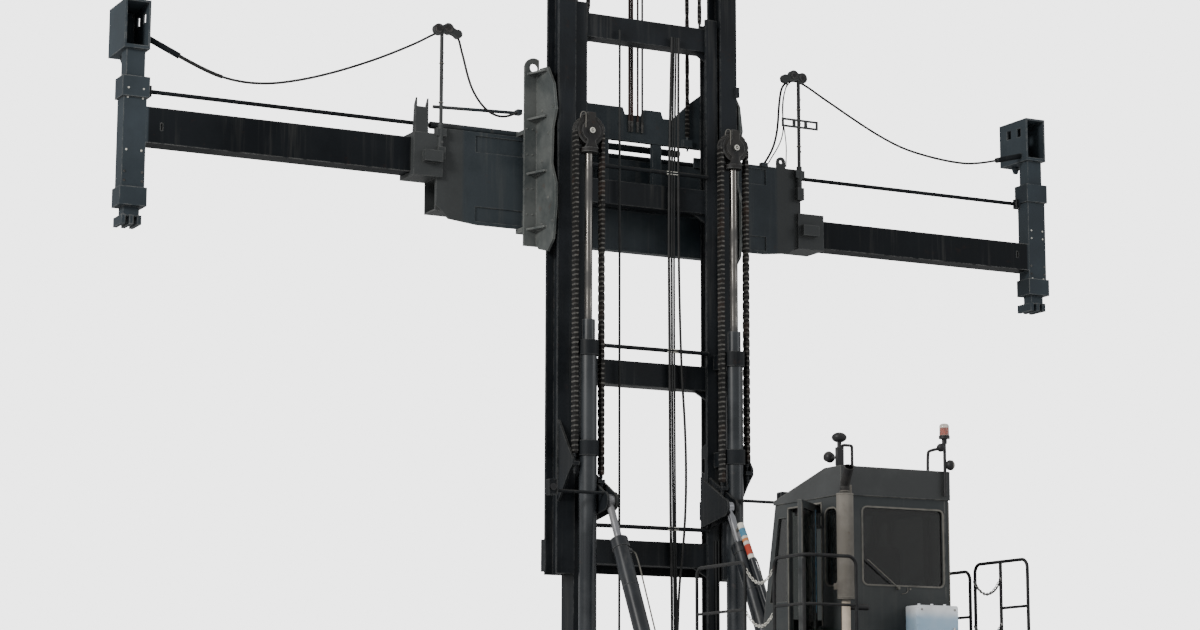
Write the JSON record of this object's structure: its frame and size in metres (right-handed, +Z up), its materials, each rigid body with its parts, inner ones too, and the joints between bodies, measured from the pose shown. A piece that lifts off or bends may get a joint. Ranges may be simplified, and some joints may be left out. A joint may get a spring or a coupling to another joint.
{
  "type": "empty container handler",
  "caption": "Mast truck that lifts and stacks empty freight containers with a side-lift telescopic spreader on a tall two-stage mast, with a cab on a raised deck",
  "frame": {"origin": "on the ground under the middle of the machine's whole length and width, as it stands on its wheels", "axes": "+Z up, +Y forward to the mast and spreader, +X to the machine's right; the spreader's long axis is X"},
  "size_m": [12.248, 8.37, 15.0028],
  "materials": {
    "mast_steel": "satin, worn",
    "body_paint": "satin",
    "spreader_paint": "satin, worn",
    "dark_steel": "satin",
    "cast_ballast": "rough paint",
    "chrome_rod": "polished",
    "chain_steel": "oiled",
    "tyre": "matt",
    "rim_paint": "satin",
    "glass": "clear",
    "lamp": "matt",
    "lens": "clear",
    "seat_fabric": "woven",
    "rubber_hose": "matt",
    "exhaust_steel": "heat stained"
  },
  "bodies": {
    "chassis": {"beacon_lens": "lens", "cab_floor": "dark_steel", "cab_front_wall": "body_paint", "cab_glass": "glass", "cab_left_wall": "body_paint", "cab_rear_wall": "body_paint", "cab_right_wall": "body_paint", "cab_roof": "body_paint", "chassis_frame": "body_paint", "control_cabinet": "body_paint", "counterweight": "cast_ballast", "deck": "dark_steel", "deck_rails": "body_paint", "deck_supports": "dark_steel", "drive_axle": "dark_steel", "engine_block": "dark_steel", "engine_hood": "body_paint", "exhaust": "exhaust_steel", "fenders": "dark_steel", "operator_seat": "seat_fabric", "roof_lamps": "lamp", "steer_axle": "dark_steel", "steering_console": "dark_steel", "tanks": "body_paint"},
    "cab_door": {"cab_door": "body_paint", "door_glass": "glass"},
    "carriage": {"carriage_beams": "spreader_paint", "carriage_sides": "spreader_paint"},
    "mast_moving": {"carriage_chain_front": "chain_steel", "mast_chains_outer": "chain_steel", "moving_mast_posts": "mast_steel", "moving_mast_ties": "mast_steel"},
    "mast_fixed": {"carriage_chain_rear": "chain_steel", "fixed_mast_posts": "mast_steel", "fixed_mast_ties": "mast_steel", "lift_barrels": "dark_steel", "mast_chains_inner": "chain_steel"},
    "drive_wheels_left": {"drive_rims_left": "rim_paint", "drive_tyres_left": "tyre"},
    "drive_wheels_right": {"drive_rims_right": "rim_paint", "drive_tyres_right": "tyre"},
    "spreader_frame": {"hose_left": "rubber_hose", "hose_right": "rubber_hose", "spreader_frame": "spreader_paint"},
    "lift_rods": {"lift_heads": "dark_steel", "lift_rods": "chrome_rod"},
    "arm_left": {"spreader_arm_left": "spreader_paint"},
    "arm_right": {"spreader_arm_right": "spreader_paint"},
    "steer_knuckle_left": {"steer_knuckle_left": "dark_steel"},
    "steer_knuckle_right": {"steer_knuckle_right": "dark_steel"},
    "steer_wheel_left": {"steer_rim_left": "rim_paint", "steer_tyre_left": "tyre"},
    "steer_wheel_right": {"steer_rim_right": "rim_paint", "steer_tyre_right": "tyre"},
    "tilt_barrel_left": {"tilt_barrel_left": "dark_steel"},
    "tilt_barrel_right": {"tilt_barrel_right": "dark_steel"},
    "tilt_rod_left": {"tilt_rod_left": "chrome_rod"},
    "tilt_rod_right": {"tilt_rod_right": "chrome_rod"},
    "twist_lock_left": {"twist_lock_left": "dark_steel"},
    "twist_lock_right": {"twist_lock_right": "dark_steel"}
  },
  "joints": [
    {"name": "drive_roll_left", "type": "hinge", "parent": "chassis", "child": "drive_wheels_left", "pos_m": [-1.633, 1.715, 0.69], "axis": [1, 0, 0], "continuous": true},
    {"name": "steer_left", "type": "hinge", "parent": "chassis", "child": "steer_knuckle_left", "pos_m": [-0.74, -2.785, 0.6], "axis": [0, 0, 1], "range_deg": [-55, 55]},
    {"name": "steer_roll_left", "type": "hinge", "parent": "steer_knuckle_left", "child": "steer_wheel_left", "pos_m": [-1.01, -2.785, 0.6], "axis": [1, 0, 0], "continuous": true},
    {"name": "tilt_barrel_left", "type": "hinge", "parent": "chassis", "child": "tilt_barrel_left", "pos_m": [-0.765, 0.865, 1.85], "axis": [1, 0, 0], "range_deg": [-5.1, 3.1]},
    {"name": "tilt_rod_left", "type": "slide", "parent": "tilt_barrel_left", "child": "tilt_rod_left", "axis": [0, 0.4654, 0.8851], "range_m": [-0.12, 0.2]},
    {"name": "drive_roll_right", "type": "hinge", "parent": "chassis", "child": "drive_wheels_right", "pos_m": [1.633, 1.715, 0.69], "axis": [1, 0, 0], "continuous": true},
    {"name": "steer_right", "type": "hinge", "parent": "chassis", "child": "steer_knuckle_right", "pos_m": [0.74, -2.785, 0.6], "axis": [0, 0, 1], "range_deg": [-55, 55]},
    {"name": "steer_roll_right", "type": "hinge", "parent": "steer_knuckle_right", "child": "steer_wheel_right", "pos_m": [1.01, -2.785, 0.6], "axis": [1, 0, 0], "continuous": true},
    {"name": "tilt_barrel_right", "type": "hinge", "parent": "chassis", "child": "tilt_barrel_right", "pos_m": [0.765, 0.865, 1.85], "axis": [1, 0, 0], "range_deg": [-5.1, 3.1]},
    {"name": "tilt_rod_right", "type": "slide", "parent": "tilt_barrel_right", "child": "tilt_rod_right", "axis": [0, 0.4654, 0.8851], "range_m": [-0.12, 0.2]},
    {"name": "mast_tilt", "type": "hinge", "parent": "chassis", "child": "mast_fixed", "pos_m": [0, 2.815, 0.75], "axis": [1, 0, 0], "range_deg": [-5, 3]},
    {"name": "rod_lift", "type": "slide", "parent": "mast_fixed", "child": "lift_rods", "axis": [0, 0, 1], "range_m": [-1.85, 2.1], "deforming": ["mast_chains_inner", "carriage_chain_rear"]},
    {"name": "mast_lift", "type": "slide", "parent": "lift_rods", "child": "mast_moving", "axis": [0, 0, 1], "range_m": [-1.85, 2.1], "deforming": ["mast_chains_outer"]},
    {"name": "carriage_lift", "type": "slide", "parent": "mast_moving", "child": "carriage", "axis": [0, 0, 1], "range_m": [-3.7, 4.2], "deforming": ["carriage_chain_front"]},
    {"name": "side_shift", "type": "slide", "parent": "carriage", "child": "spreader_frame", "axis": [1, 0, 0], "range_m": [-0.3, 0.3]},
    {"name": "arm_left_slide", "type": "slide", "parent": "spreader_frame", "child": "arm_left", "axis": [1, 0, 0], "range_m": [0, 3.048], "deforming": ["hose_left"]},
    {"name": "arm_right_slide", "type": "slide", "parent": "spreader_frame", "child": "arm_right", "axis": [-1, 0, 0], "range_m": [0, 3.048], "deforming": ["hose_right"]},
    {"name": "twist_lock_left_turn", "type": "hinge", "parent": "arm_left", "child": "twist_lock_left", "pos_m": [-5.97, 4.055, 9.73], "axis": [0, 0, 1], "range_deg": [0, 90]},
    {"name": "twist_lock_right_turn", "type": "hinge", "parent": "arm_right", "child": "twist_lock_right", "pos_m": [5.97, 4.055, 9.73], "axis": [0, 0, 1], "range_deg": [0, 90]},
    {"name": "cab_door_swing", "type": "hinge", "parent": "chassis", "child": "cab_door", "pos_m": [-0.642, -1.679, 3.8], "axis": [0, 0, 1], "range_deg": [-134, 0]}
  ],
  "couplings": [
    {"joint": "steer_right", "follows": "steer_left", "ratio": 1},
    {"joint": "tilt_barrel_left", "follows": "mast_tilt", "ratio": 1.0085},
    {"joint": "tilt_barrel_right", "follows": "mast_tilt", "ratio": 1.0085},
    {"joint": "tilt_rod_left", "follows": "mast_tilt", "m_per_rad": -2.237},
    {"joint": "tilt_rod_right", "follows": "mast_tilt", "m_per_rad": -2.237},
    {"joint": "mast_lift", "follows": "rod_lift", "ratio": 1},
    {"joint": "carriage_lift", "follows": "rod_lift", "ratio": 2},
    {"joint": "arm_right_slide", "follows": "arm_left_slide", "ratio": 1},
    {"joint": "twist_lock_right_turn", "follows": "twist_lock_left_turn", "ratio": 1}
  ]
}
